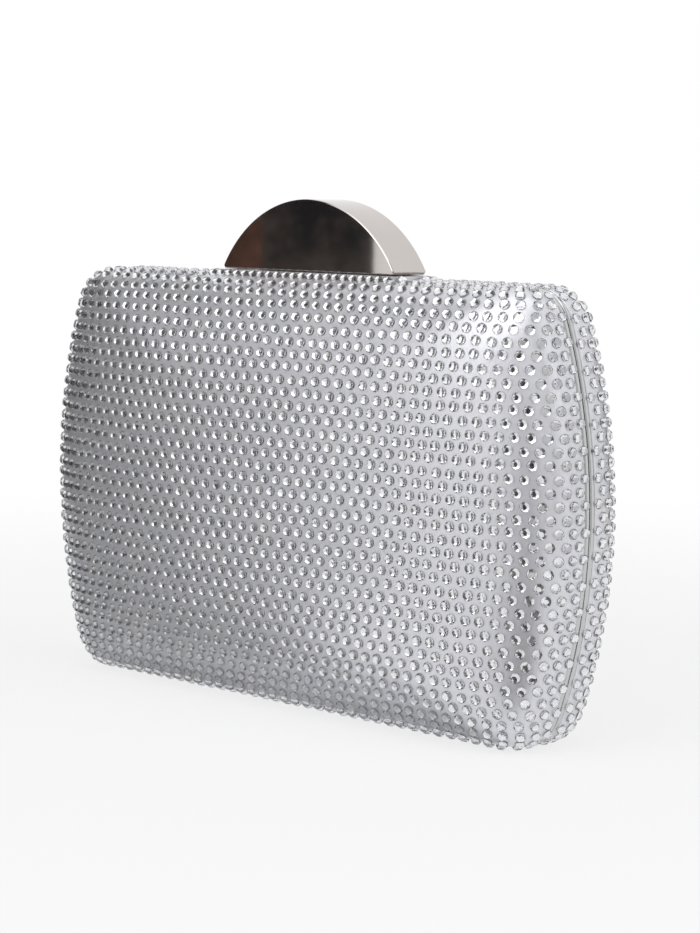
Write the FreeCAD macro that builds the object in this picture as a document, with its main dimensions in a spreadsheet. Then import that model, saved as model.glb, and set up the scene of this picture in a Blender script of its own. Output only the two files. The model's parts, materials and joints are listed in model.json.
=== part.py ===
"""Hard-shell evening clutch: two crystal-set pillow halves, a bottom hinge and a half-moon push knob.

Millimetres. X runs along the width, -Y is the front, +Z is up. The halves meet at y = 0, and z = 0 is the
lowest level of the stones, on which the bag stands.
"""
import FreeCAD, Part
import math
import os
import re
import Sketcher

Vector = FreeCAD.Vector

# Driving sizes: name, value and meaning

SIZES = {
    "body_width": (181, "width over the stones"),
    "body_height": (110, "height over the stones, without the knob"),
    "body_depth": (43, "depth over the stones of both halves"),
    "side_bow": (7.5, "how far each side bulges between its corners"),
    "corner_radius": (11.4, "radius of the outline's corners over the stones"),
    "corner_growth": (0.4, "how much the corners widen for each step that the outline draws in"),
    "wall_land": (3.6, "straight part of the wall beside the seam, from the seam"),
    "profile_power": (3.0, "power of the pillow's profile, 2 is an ellipse"),
    "face_share": (0.86, "share of the half height where the profile gives way to the flat face"),
    "stone_height": (0.9, "height of the stones on the satin"),
    "glue_line": (0.1, "glue between the layers"),
    "satin_thickness": (0.6, "satin with its backing"),
    "shell_thickness": (1.8, "wall of the moulded shell"),
    "lining_gap": (0.2, "room between the lining and what it lies in"),
    "lining_thickness": (1.0, "lining tray, board and fabric"),
    "parting_gap": (0.3, "gap between the two rims"),
    "rim_thickness": (1.5, "thickness of a rim, across the seam"),
    "rim_round": (0.4, "rounding of the rim's outer edges"),
    "sleeve_gap": (0.9, "room between the shell and the sleeve, for rivet tails"),
    "sleeve_wall": (1.2, "wall of the sleeve"),
    "sleeve_depth": (3.85, "depth of the sleeve behind the rim"),
    "hinge_length": (140, "length of the hinge"),
    "barrel_radius": (1.0, "outer radius of the hinge knuckles"),
    "pin_radius": (0.5, "radius of the hinge pin"),
    "pin_clearance": (0.03, "radial clearance between pin and knuckles"),
    "knuckle_gap": (0.2, "gap between neighbouring knuckles"),
    "groove_clearance": (0.2, "room around the knuckles and leaves"),
    "leaf_thickness": (0.6, "sheet thickness of the hinge leaves"),
    "leaf_gap": (0.2, "distance of each leaf from the seam plane"),
    "hinge_rivet_spacing": (28, "distance between the hinge rivets"),
    "rivet_radius": (1.0, "radius of a rivet's shank"),
    "rivet_head_radius": (1.7, "radius of a rivet's head"),
    "rivet_head_height": (0.6, "height of a rivet's head"),
    "rivet_tail_height": (0.4, "height of a rivet's upset tail"),
    "hole_clearance": (0.05, "radial clearance of riveted and pressed shanks"),
    "seat_gap": (0.15, "gap between the satin and the plate under the knob"),
    "seat_thickness": (0.5, "thickness of the plate under the knob"),
    "seat_corner": (1.0, "corner radius of that plate"),
    "collar_room": (0.3, "room between the knob and the collar on that plate"),
    "collar_wall": (0.5, "wall of the collar"),
    "collar_height": (0.75, "height of the collar above the plate"),
    "stone_margin": (0.5, "stone-free strip around that plate"),
    "knob_radius": (34.9, "radius of the half-moon's arc"),
    "knob_height": (18.15, "height of the half-moon"),
    "knob_depth": (12.0, "depth of the half-moon"),
    "knob_offset": (1.7, "distance of the half-moon's middle behind the seam"),
    "knob_wall": (1.0, "sheet thickness of the knob"),
    "knob_bevel": (0.35, "rounding around the knob's faces"),
    "knob_corner": (0.8, "rounding of the knob's lower corners"),
    "knob_cheek": (4.6, "solid end of the knob at its base"),
    "knob_stop": (0.1, "gap left under the pushed knob"),
    "knob_travel": (0.9, "how far the knob is pushed"),
    "bar_rise": (2.35, "height of the bar's underside above the knob's base"),
    "bar_thickness": (2.0, "thickness of the bar inside the knob"),
    "stem_spacing": (36, "distance between the two guide stems"),
    "stem_radius": (1.25, "radius of the guide stems"),
    "stem_clearance": (0.2, "radial room of stems and plunger in their holes"),
    "stem_head_radius": (2.0, "radius of the heads on the bar"),
    "stem_head_height": (0.8, "height of the heads on the bar"),
    "stem_tip": (0.9, "end of the stem below its clip"),
    "neck_radius": (0.9, "radius of the stem's groove"),
    "clip_radius": (2.5, "outer radius of the retaining clips"),
    "clip_thickness": (0.5, "thickness of the retaining clips"),
    "plunger_radius": (1.0, "radius of the plunger"),
    "plunger_gap": (0.1, "gap between plunger and tongue"),
    "spring_wire": (0.5, "wire diameter of the return springs"),
    "spring_room": (0.3, "radial room between stem and spring"),
    "spring_turns": (3, "turns of each return spring"),
    "lock_length": (48, "length of the lock plate"),
    "lock_thickness": (1.2, "thickness of the lock plate"),
    "lock_rivet_spacing": (22, "distance between the lock plate's rivets"),
    "slot_clearance": (0.2, "room around the barb in the lock plate"),
    "tongue_gap": (0.05, "gap between tongue and lock plate"),
    "tongue_thickness": (0.4, "spring steel of the tongue"),
    "tongue_width": (8, "width of the tongue"),
    "tongue_tip": (0.7, "end of the tongue behind the barb"),
    "barb_height": (0.8, "height of the barb"),
    "barb_length": (2.0, "length of the barb, with its ramp"),
    "barb_ramp": (1.0, "length of the barb's ramp"),
    "spacer_length": (2.4, "length of the block under the tongue's root"),
    "tongue_rivet_spacing": (4.6, "distance between the tongue's rivets"),
    "tongue_rivet_radius": (0.7, "radius of the tongue's rivets"),
    "tongue_rivet_head": (1.1, "radius of those rivets' heads"),
}

# Sizes that follow from the driving ones

DERIVED = {
    "satin_out": "stone_height + glue_line",
    "satin_in": "satin_out + satin_thickness",
    "shell_out": "satin_in + glue_line",
    "shell_in": "shell_out + shell_thickness",
    "lining_out": "shell_in + lining_gap",
    "lining_in": "lining_out + lining_thickness",
    "rim_front": "parting_gap / 2",
    "rim_back": "rim_front + rim_thickness",
    "sleeve_out": "shell_in + sleeve_gap",
    "frame_in": "sleeve_out + sleeve_wall",
    "sleeve_end": "rim_back + sleeve_depth",
    "sleeve_middle": "(rim_back + sleeve_end) / 2",
    "lining_start": "sleeve_end + lining_gap",
    "sleeve_top": "body_height - sleeve_out",
    "sleeve_roof": "body_height - frame_in",
    "satin_top": "body_height - satin_out",
    "hinge_height": "satin_out",
    "bore_radius": "pin_radius + pin_clearance",
    "groove_radius": "barrel_radius + groove_clearance",
    "leaf_back": "leaf_gap + leaf_thickness",
    "leaf_foot": "hinge_height + groove_radius",
    "leaf_top": "frame_in + leaf_thickness",
    "leaf_end": "sleeve_end - groove_clearance",
    "seat_bottom": "satin_top + seat_gap",
    "seat_top": "seat_bottom + seat_thickness",
    "knob_base": "seat_top + knob_stop + knob_travel",
    "knob_drop": "knob_radius - knob_height",
    "knob_half": "sqrt(knob_radius ^ 2 - knob_drop ^ 2)",
    "hollow_radius": "knob_radius - knob_wall",
    "hollow_half": "knob_half - knob_cheek",
    "hollow_depth": "knob_depth - 2 * knob_wall",
    "seat_half": "knob_half + collar_room + collar_wall",
    "seat_deep": "knob_depth / 2 + collar_room + collar_wall",
    "collar_top": "seat_top + collar_height",
    "bar_bottom": "knob_base + bar_rise",
    "bar_top": "bar_bottom + bar_thickness",
    "lock_bottom": "sleeve_roof - lock_thickness",
    "tongue_top": "lock_bottom - tongue_gap",
    "tongue_bottom": "tongue_top - tongue_thickness",
    "barb_top": "tongue_top + barb_height",
    "barb_front": "sleeve_middle - barb_length / 2",
    "barb_back": "sleeve_middle + barb_length / 2",
    "spacer_end": "sleeve_end - spacer_length",
    "spacer_middle": "sleeve_end - spacer_length / 2",
    "clip_top": "lock_bottom - tongue_gap",
    "clip_bottom": "clip_top - clip_thickness",
    "stem_hole": "stem_radius + stem_clearance",
    "plunger_hole": "plunger_radius + stem_clearance",
    "spring_radius": "stem_radius + spring_room + spring_wire / 2",
}

KNUCKLES = 7
HINGE_RIVETS = 5
PROFILE_STEPS = 20
CORNER_LIMIT = 0.98
OVERCUT = "1"
SAME_PLACE = 1e-6
ENDS = (-1, 1)

doc = FreeCAD.newDocument("minaudiere")
sheet = doc.addObject("Spreadsheet::Sheet", "sizes")
for row, (alias, (number, meaning)) in enumerate(SIZES.items(), start=1):
    sheet.set(f"A{row}", alias)
    sheet.set(f"B{row}", str(number))
    sheet.setAlias(f"B{row}", alias)
    sheet.set(f"C{row}", meaning)
doc.recompute()
nodes = {}


def formula(text):
    """Expression with every derived name spelled out and every driving size read from the sheet."""
    def spell(match):
        word = match.group(0)
        if word in DERIVED:
            return "(" + formula(DERIVED[word]) + ")"
        if word in SIZES:
            return "sizes." + word
        return word
    return re.sub(r"[a-z_]+", spell, text)


def value(text):
    """Number that a formula has now."""
    return float(sheet.evalExpression(formula(text)))


def keep(thing, node):
    """Name a finished sub-part."""
    thing.Label = node
    nodes[node] = thing
    return thing


# Building blocks

def box(name, low, high):
    """Box between two corners, each given as three formulas."""
    thing = doc.addObject("Part::Box", name)
    for side, axis, start, end in zip(("Length", "Width", "Height"), "xyz", low, high):
        thing.setExpression(side, formula(f"({end}) - ({start})"))
        thing.setExpression("Placement.Base." + axis, formula(start))
    return thing


def rod(name, axis, radius, start, length):
    """Cylinder along x or z from a start point."""
    thing = doc.addObject("Part::Cylinder", name)
    if axis == "x":
        thing.Placement.Rotation = FreeCAD.Rotation(Vector(0, 1, 0), 90)
    thing.setExpression("Radius", formula(radius))
    thing.setExpression("Height", formula(length))
    for axis_name, place in zip("xyz", start):
        thing.setExpression("Placement.Base." + axis_name, formula(place))
    return thing


def fuse(name, things):
    """One solid from several that overlap."""
    thing = doc.addObject("Part::MultiFuse", name)
    thing.Shapes = things
    return thing


def group(name, things):
    """Separate solids in one sub-part."""
    thing = doc.addObject("Part::Compound", name)
    thing.Links = things
    return thing


def cut(name, base, tools):
    """What is left of a solid after the tools are taken from it."""
    thing = doc.addObject("Part::Cut", name)
    thing.Base = base
    thing.Tool = tools[0] if len(tools) == 1 else fuse(name + "_tools", tools)
    return thing


def mirrored(name, source):
    """The same solid on the other side of the seam."""
    thing = doc.addObject("Part::Mirroring", name)
    thing.Source = source
    thing.Normal = Vector(0, 1, 0)
    return thing


def shaped(name, shape):
    """Solid made directly from curves."""
    thing = doc.addObject("Part::Feature", name)
    thing.Shape = shape
    return thing


def rivet(name, place, low, high, radius, head_radius, head_at_top):
    """Rivet along z between two faces, with a head on one and an upset tail on the other."""
    across, along = place
    head_start, tail_start = (high, f"{low} - rivet_tail_height")
    if not head_at_top:
        head_start, tail_start = (f"{low} - rivet_head_height", high)
    shank = rod(name + "_shank", "z", radius, (across, along, low), f"{high} - ({low})")
    head = rod(name + "_head", "z", head_radius, (across, along, head_start), "rivet_head_height")
    tail = rod(name + "_tail", "z", head_radius, (across, along, tail_start), "rivet_tail_height")
    return fuse(name, [shank, head, tail])


def origin_plane(body, role):
    """One of a body's own planes."""
    return [plane for plane in body.Origin.OriginFeatures if plane.Role == role][0]


def new_sketch(body, name, role):
    """Empty sketch on one of a body's own planes."""
    sketch = body.newObject("Sketcher::SketchObject", name)
    sketch.AttachmentSupport = [(origin_plane(body, role), "")]
    sketch.MapMode = "FlatFace"
    return sketch


def pin_point(sketch, curve, end, along, up):
    """Hold a point of a sketch at two formulas from the sketch's origin."""
    for kind, text in (("DistanceX", along), ("DistanceY", up)):
        index = sketch.addConstraint(Sketcher.Constraint(kind, -1, 1, curve, end, value(text)))
        sketch.setExpression(f"Constraints[{index}]", formula(text))


def polygon(sketch, points):
    """Closed outline of straight lines through points, each given as two formulas."""
    corners = [Vector(value(along), value(up), 0) for along, up in points]
    count = len(corners)
    for index in range(count):
        sketch.addGeometry(Part.LineSegment(corners[index], corners[(index + 1) % count]), False)
    for index, (along, up) in enumerate(points):
        sketch.addConstraint(Sketcher.Constraint("Coincident", index, 2, (index + 1) % count, 1))
        pin_point(sketch, index, 1, along, up)


def pad(body, name, sketch, length, symmetric):
    """Pad a sketch, to one side or to both."""
    feature = body.newObject("PartDesign::Pad", name)
    feature.Profile = sketch
    feature.setExpression("Length", formula(length))
    feature.SideType = "Symmetric" if symmetric else "One side"
    doc.recompute()
    return feature


def rounded(body, name, feature, keep_edge, radius):
    """Round those edges of a feature that a test picks."""
    picked = [f"Edge{i}" for i, edge in enumerate(feature.Shape.Edges, start=1) if keep_edge(edge)]
    fillet = body.newObject("PartDesign::Fillet", name)
    fillet.Base = (feature, picked)
    fillet.setExpression("Radius", formula(radius))
    doc.recompute()
    return fillet


def runs_along(edge, direction):
    """Whether an edge is a straight line along a direction."""
    if not isinstance(edge.Curve, Part.Line):
        return False
    return edge.Curve.Direction.cross(direction).Length < SAME_PLACE


def goes_back(edge):
    """Whether an edge is a straight line from front to rear."""
    return runs_along(edge, Vector(0, 1, 0))


def lies_upright(edge):
    """Whether an edge stays at one distance from the seam."""
    return edge.BoundBox.YLength < SAME_PLACE


# Pillow halves: one outline that shrinks along a superellipse profile

def outline(inset, share, level):
    """Closed wire in the plane y = level: straight top and bottom, bowed sides, round corners.

    inset is the distance inside the stones, share how much of the outline the profile leaves.
    """
    full_height = value("body_height / 2") - inset
    full_corner = value("corner_radius") - inset
    half_height = full_height * share
    grown_corner = full_corner + value("corner_growth") * (full_height - half_height)
    corner = min(grown_corner, CORNER_LIMIT * half_height)
    reach = half_height - corner
    bow = value("side_bow") * (reach / (full_height - full_corner)) ** 2 / share
    half_width = (value("body_width / 2") - inset) * share
    flat = half_width - bow - corner
    lean = math.asin(reach / ((reach ** 2 + bow ** 2) / (2 * bow)))
    middle = value("body_height / 2")

    def corner_point(side, upper, angle):
        """Point on one corner's arc, angle 0 to the side and 90 degrees up or down."""
        across = side * (flat + corner * math.cos(angle))
        return Vector(across, level, middle + upper * (reach + corner * math.sin(angle)))

    def corner_arc(side, upper, first, last):
        angles = (first, (first + last) / 2, last)
        return Part.Arc(*[corner_point(side, upper, angle) for angle in angles])

    def side_arc(side, upper):
        ends = [corner_point(side, upper, lean), corner_point(side, -upper, lean)]
        return Part.Arc(ends[0], Vector(side * half_width, level, middle), ends[1])

    square = math.pi / 2
    curves = [
        Part.LineSegment(corner_point(-1, -1, square), corner_point(1, -1, square)),
        corner_arc(1, -1, square, lean),
        side_arc(1, -1),
        corner_arc(1, 1, lean, square),
        Part.LineSegment(corner_point(1, 1, square), corner_point(-1, 1, square)),
        corner_arc(-1, 1, square, lean),
        side_arc(-1, 1),
        corner_arc(-1, -1, lean, square),
    ]
    return Part.Wire([curve.toShape() for curve in curves])


def prism(inset, start, end):
    """Straight solid on the outline between two planes."""
    return Part.Face(outline(inset, 1, start)).extrude(Vector(0, end - start, 0))


def pillow(inset):
    """Solid from the seam plane to the face: a straight land, then the profile to the flat face.

    The profile is ((y - land) / (depth - land))^n + share^n = 1, followed by narrow straight bands.
    """
    depth = value("body_depth / 2") - inset
    land = value("wall_land")
    power = value("profile_power")
    last_turn = math.acos((1 - value("face_share")) ** (power / 2))
    sections = []
    for step in range(PROFILE_STEPS):
        turn = last_turn * step / PROFILE_STEPS
        level = land + (depth - land) * math.sin(turn) ** (2 / power)
        sections.append(outline(inset, math.cos(turn) ** (2 / power), level))
    sections.append(outline(inset, 1 - value("face_share"), depth))
    return prism(inset, 0, land).fuse(Part.makeLoft(sections, True, True))


def tray(name, outer, inner, start):
    """Half shell of the rear between two insets, open at the plane y = start."""
    blank = shaped(name + "_blank", pillow(value(outer)))
    hollow = shaped(name + "_hollow", pillow(value(inner)))
    low = ("-body_width", f"-{OVERCUT}", "-body_height")
    front = box(name + "_front", low, ("body_width", start, "2 * body_height"))
    return cut(name, cut(name + "_walls", blank, [hollow]), [front])


# Places along the hinge, the lock and the knob

stem_places = [f"{end} * stem_spacing / 2" for end in ENDS]
lock_rivet_places = [f"{end} * lock_rivet_spacing / 2" for end in ENDS]
tongue_rivet_places = [f"{end} * tongue_rivet_spacing / 2" for end in ENDS]
hinge_rivet_places = [f"{i - (HINGE_RIVETS - 1) / 2} * hinge_rivet_spacing" for i in range(HINGE_RIVETS)]


def knob_holes(name, low, high):
    """Holes for the two stems and the plunger between two heights."""
    holes = []
    for index, across in enumerate(stem_places):
        place = (across, "sleeve_middle", low)
        holes.append(rod(f"{name}_stem_{index}", "z", "stem_hole", place, f"{high} - ({low})"))
    place = ("0", "sleeve_middle", low)
    holes.append(rod(f"{name}_plunger", "z", "plunger_hole", place, f"{high} - ({low})"))
    return holes


def rivet_holes(name, places, along, radius, low, high):
    """Holes for a row of rivets."""
    holes = []
    for index, across in enumerate(places):
        start = (across, along, low)
        size = f"{radius} + hole_clearance"
        holes.append(rod(f"{name}_{index}", "z", size, start, f"{high} - ({low})"))
    return holes


def rivet_row(node, places, along, low, high, radius, head_radius, head_at_top):
    """Row of like rivets in one sub-part."""
    row = []
    for index, across in enumerate(places):
        name = f"{node}_{index}"
        row.append(rivet(name, (across, along), low, high, radius, head_radius, head_at_top))
    return keep(group(node, row), node)


# Stones, satin, shell and lining of both halves

def make_halves():
    """The four layers, rear and front; the knob's stems pass through the rear ones."""
    roof, sky = "sleeve_roof", f"body_height + {OVERCUT}"
    layers = (
        ("crystals", "0", "stone_height", "rim_back"),
        ("cover", "satin_out", "satin_in", "rim_back"),
        ("shell", "shell_out", "shell_in", "rim_back"),
        ("lining", "lining_out", "lining_in", "lining_start"),
    )
    for layer, outer, inner, start in layers:
        rear = tray("half_" + layer, outer, inner, start)
        front = mirrored("other_" + layer, rear)
        if layer == "crystals":
            bare_half = "seat_half + stone_margin"
            bare_deep = "seat_deep + stone_margin"
            low = (f"-({bare_half})", f"knob_offset - ({bare_deep})", roof)
            high = (bare_half, f"knob_offset + {bare_deep}", sky)
            front = cut("front_crystals", front, [box("front_bare", low, high)])
            rear = cut("rear_crystals", rear, [box("rear_bare", low, high)])
        elif layer != "lining":
            rear = cut("rear_" + layer, rear, knob_holes(layer, roof, sky))
        keep(front, "front_" + layer)
        keep(rear, "rear_" + layer)


# Rims and sleeves

def frame_blank():
    """Rim with rounded outer edges and the sleeve behind it."""
    rim_front, rim_back, sleeve_end = (value(text) for text in ("rim_front", "rim_back", "sleeve_end"))
    rim = prism(value("satin_out"), rim_front, rim_back)
    rim = rim.makeFillet(value("rim_round"), [edge for edge in rim.Edges if lies_upright(edge)])
    sleeve = prism(value("sleeve_out"), value("rim_front + rim_round"), sleeve_end)
    opening = prism(value("frame_in"), -sleeve_end, 2 * sleeve_end)
    return rim.fuse(sleeve).cut(opening)


def make_frames():
    """Both frames, grooved along the bottom for the hinge and drilled for rivets, stems and plunger."""
    rear = shaped("rim_blank", frame_blank())
    front = mirrored("rim_blank_front", rear)
    half = "hinge_length / 2 + groove_clearance"
    sides = {"rear": (rear, 1), "front": (front, -1)}
    for side, (blank, sign) in sides.items():
        start = (f"-({half})", "0", "hinge_height")
        groove = rod(side + "_groove", "x", "groove_radius", start, f"2 * ({half})")
        reach = "leaf_back + groove_clearance"
        low = (f"-({half})", f"-({reach})", "hinge_height")
        recess = box(side + "_recess", low, (half, reach, f"frame_in + {OVERCUT}"))
        tools = [groove, recess]
        line = f"{sign} * sleeve_middle"
        below, above = f"sleeve_out - {OVERCUT}", f"frame_in + {OVERCUT}"
        tools += rivet_holes(side + "_sleeve_hole", hinge_rivet_places, line, "rivet_radius", below, above)
        below, above = f"sleeve_roof - {OVERCUT}", f"sleeve_top + {OVERCUT}"
        if side == "rear":
            tools += knob_holes("sleeve", below, above)
            holes = (lock_rivet_places, line, "rivet_radius", below, above)
        else:
            holes = (tongue_rivet_places, "-spacer_middle", "tongue_rivet_radius", below, above)
        tools += rivet_holes(side + "_lock_hole", *holes)
        keep(cut(side + "_frame", blank, tools), side + "_frame")


# Piano hinge

def make_leaf(side, sign, first):
    """Bent leaf with every second knuckle, starting at knuckle number first."""
    pitch = f"hinge_length / {KNUCKLES}"
    half = "hinge_length / 2"
    near, far, end = (f"{sign} * {text}" for text in ("leaf_gap", "leaf_back", "leaf_end"))
    low_y, high_y = (near, far) if sign > 0 else (far, near)
    low_end, high_end = (near, end) if sign > 0 else (end, near)
    pieces = [
        box(side + "_web", (f"-{half}", low_y, "leaf_foot"), (half, high_y, "leaf_top")),
        box(side + "_flange", (f"-{half}", low_end, "frame_in"), (half, high_end, "leaf_top")),
    ]
    for index in range(first, KNUCKLES, 2):
        start = f"-{half} + {index} * {pitch} + knuckle_gap / 2"
        stop = f"-{half} + {index + 1} * {pitch} - knuckle_gap / 2"
        length = f"{pitch} - knuckle_gap"
        name = f"{side}_knuckle_{index}"
        pieces.append(rod(name, "x", "barrel_radius", (start, "0", "hinge_height"), length))
        low, high = (start, low_y, "hinge_height"), (stop, high_y, "leaf_foot + leaf_gap")
        pieces.append(box(name + "_tab", low, high))
    solid = fuse(side + "_leaf_solid", pieces)
    start = (f"-{half} - {OVERCUT}", "0", "hinge_height")
    bore = rod(side + "_bore", "x", "bore_radius", start, f"hinge_length + 2 * {OVERCUT}")
    line = f"{sign} * sleeve_middle"
    above = f"leaf_top + {OVERCUT}"
    holes = rivet_holes(side + "_leaf_hole", hinge_rivet_places, line, "rivet_radius", "sleeve_out", above)
    node = side + "_hinge_leaf"
    keep(cut(node, solid, [bore] + holes), node)
    rivet_row(side + "_hinge_rivets", hinge_rivet_places, line, "sleeve_out", "leaf_top",
              "rivet_radius", "rivet_head_radius", True)


def make_hinge():
    """Two leaves on one pin; the rear leaf has the outer knuckles."""
    make_leaf("rear", 1, 0)
    make_leaf("front", -1, 1)
    start = ("-hinge_length / 2", "0", "hinge_height")
    keep(rod("hinge_pin", "x", "pin_radius", start, "hinge_length"), "hinge_pin")


# Push lock

def make_lock_plate():
    """Slotted plate under the rear sleeve, with holes for stems and rivets."""
    half = "lock_length / 2"
    blank = box("lock_blank", (f"-{half}", "rim_back", "lock_bottom"), (half, "sleeve_end", "sleeve_roof"))
    side = "tongue_width / 2 + slot_clearance"
    below, above = f"lock_bottom - {OVERCUT}", f"sleeve_roof + {OVERCUT}"
    low = (f"-({side})", "barb_front - slot_clearance", below)
    slot = box("lock_slot", low, (side, "barb_back + slot_clearance", above))
    stems = knob_holes("lock", below, above)
    rivets = rivet_holes("lock_hole", lock_rivet_places, "sleeve_middle", "rivet_radius", below, above)
    keep(cut("lock_plate", blank, [slot] + stems + rivets), "lock_plate")
    rivet_row("lock_plate_rivets", lock_rivet_places, "sleeve_middle", "lock_bottom", "sleeve_top",
              "rivet_radius", "rivet_head_radius", False)


def make_tongue():
    """Spring-steel tongue with its barb, on a block riveted under the front sleeve."""
    body = doc.addObject("PartDesign::Body", "tongue_body")
    profile = new_sketch(body, "tongue_profile", "YZ_Plane")
    polygon(profile, [
        ("-sleeve_end", "tongue_bottom"),
        ("barb_back + tongue_tip", "tongue_bottom"),
        ("barb_back + tongue_tip", "tongue_top"),
        ("barb_back", "tongue_top"),
        ("barb_back - barb_ramp", "barb_top"),
        ("barb_front", "barb_top"),
        ("barb_front", "tongue_top"),
        ("-sleeve_end", "tongue_top"),
    ])
    pad(body, "tongue_pad", profile, "tongue_width", True)
    line = "-spacer_middle"
    below, above = f"tongue_bottom - {OVERCUT}", f"sleeve_roof + {OVERCUT}"
    sizes = (tongue_rivet_places, line, "tongue_rivet_radius", below, above)
    keep(cut("catch_tongue", body, rivet_holes("tongue_hole", *sizes)), "catch_tongue")
    low = ("-tongue_width / 2", "-sleeve_end", "tongue_top")
    block = box("spacer_blank", low, ("tongue_width / 2", "-spacer_end", "sleeve_roof"))
    keep(cut("tongue_spacer", block, rivet_holes("spacer_hole", *sizes)), "tongue_spacer")
    rivet_row("tongue_rivets", tongue_rivet_places, line, "tongue_bottom", "sleeve_top",
              "tongue_rivet_radius", "tongue_rivet_head", False)


# Half-moon knob with its plate, stems, plunger and springs

def half_moon(sketch, radius, base_half, base):
    """Arc about a centre below the base, closed by upright ends and a straight base line.

    Where base_half is the arc's own half chord, the ends have no height and are left out.
    """
    centre = value("-knob_drop")
    arc_radius = value(radius)
    half = value(base_half)
    foot = centre + math.sqrt(arc_radius ** 2 - half ** 2)
    start_angle = math.atan2(foot - centre, half)
    circle = Part.Circle(Vector(0, centre, 0), Vector(0, 0, 1), arc_radius)
    arc = sketch.addGeometry(Part.ArcOfCircle(circle, start_angle, math.pi - start_angle), False)
    sketch.addConstraint(Sketcher.Constraint("PointOnObject", arc, 3, -2))
    drop = sketch.addConstraint(Sketcher.Constraint("DistanceY", -1, 1, arc, 3, centre))
    sketch.setExpression(f"Constraints[{drop}]", formula("-knob_drop"))
    size = sketch.addConstraint(Sketcher.Constraint("Radius", arc, arc_radius))
    sketch.setExpression(f"Constraints[{size}]", formula(radius))
    for end, side in ((1, 1), (2, -1)):
        place = sketch.addConstraint(Sketcher.Constraint("DistanceX", -1, 1, arc, end, side * half))
        sketch.setExpression(f"Constraints[{place}]", formula(f"{side} * ({base_half})"))
    if base is None:
        chord = sketch.addGeometry(Part.LineSegment(Vector(-half, foot, 0), Vector(half, foot, 0)), False)
        sketch.addConstraint(Sketcher.Constraint("Coincident", chord, 1, arc, 2))
        sketch.addConstraint(Sketcher.Constraint("Coincident", chord, 2, arc, 1))
        return
    level = value(base)
    places = ((-half, foot), (-half, level), (half, level), (half, foot))
    corners = [Vector(across, up, 0) for across, up in places]
    lines = [sketch.addGeometry(Part.LineSegment(a, b), False) for a, b in zip(corners, corners[1:])]
    sketch.addConstraint(Sketcher.Constraint("Coincident", lines[0], 1, arc, 2))
    sketch.addConstraint(Sketcher.Constraint("Coincident", lines[0], 2, lines[1], 1))
    sketch.addConstraint(Sketcher.Constraint("Coincident", lines[1], 2, lines[2], 1))
    sketch.addConstraint(Sketcher.Constraint("Coincident", lines[2], 2, arc, 1))
    pin_point(sketch, lines[1], 1, f"-({base_half})", base)
    pin_point(sketch, lines[1], 2, base_half, base)


def make_knob_shell():
    """Hollow half-moon, rounded around both faces and at the lower corners, open below."""
    body = doc.addObject("PartDesign::Body", "knob_shell")
    face = new_sketch(body, "knob_face", "XZ_Plane")
    half_moon(face, "knob_radius", "knob_half", None)
    blank = pad(body, "knob_blank", face, "knob_depth", True)
    blank = rounded(body, "knob_corners", blank, goes_back, "knob_corner")
    blank = rounded(body, "knob_bevels", blank, lies_upright, "knob_bevel")
    inside = new_sketch(body, "knob_inside", "XZ_Plane")
    half_moon(inside, "hollow_radius", "hollow_half", f"-{OVERCUT}")
    pocket = body.newObject("PartDesign::Pocket", "knob_hollow")
    pocket.Profile = inside
    pocket.setExpression("Length", formula("hollow_depth"))
    pocket.SideType = "Symmetric"
    body.setExpression("Placement.Base.y", formula("knob_offset"))
    body.setExpression("Placement.Base.z", formula("knob_base"))
    keep(body, "knob_shell")


def seat_blank(name, half, deep, low, high, corner):
    """Block with round corners about the knob's middle, between two heights."""
    body = doc.addObject("PartDesign::Body", name)
    sketch = new_sketch(body, name + "_outline", "XY_Plane")
    polygon(sketch, [
        (f"-({half})", f"knob_offset - ({deep})"),
        (half, f"knob_offset - ({deep})"),
        (half, f"knob_offset + {deep}"),
        (f"-({half})", f"knob_offset + {deep}"),
    ])
    block = pad(body, name + "_pad", sketch, f"{high} - ({low})", False)
    rounded(body, name + "_corners", block, lambda edge: runs_along(edge, Vector(0, 0, 1)), corner)
    body.setExpression("Placement.Base.z", formula(low))
    return body


def make_knob_seat():
    """Plate with a low collar around the knob's base, with holes for stems and plunger."""
    blank = seat_blank("seat_plate", "seat_half", "seat_deep", "seat_bottom", "collar_top", "seat_corner")
    inner_half, inner_deep = "seat_half - collar_wall", "seat_deep - collar_wall"
    above = f"collar_top + {OVERCUT}"
    room = seat_blank("seat_room", inner_half, inner_deep, "seat_top", above, "seat_corner - collar_wall")
    holes = knob_holes("seat", f"seat_bottom - {OVERCUT}", f"seat_top + {OVERCUT}")
    keep(cut("knob_seat", cut("seat_collar", blank, [room]), holes), "knob_seat")


def make_knob_bar():
    """Bar across the inside of the knob, drilled for stems and plunger."""
    half = "hollow_half - hole_clearance"
    deep = "hollow_depth / 2 - hole_clearance"
    low = (f"-({half})", f"knob_offset - ({deep})", "bar_bottom")
    blank = box("bar_blank", low, (half, f"knob_offset + ({deep})", "bar_top"))
    below, above = f"bar_bottom - {OVERCUT}", f"bar_top + {OVERCUT}"
    holes = rivet_holes("bar_hole", stem_places, "sleeve_middle", "stem_radius", below, above)
    holes += rivet_holes("bar_middle", ["0"], "sleeve_middle", "plunger_radius", below, above)
    keep(cut("knob_bar", blank, holes), "knob_bar")


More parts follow.
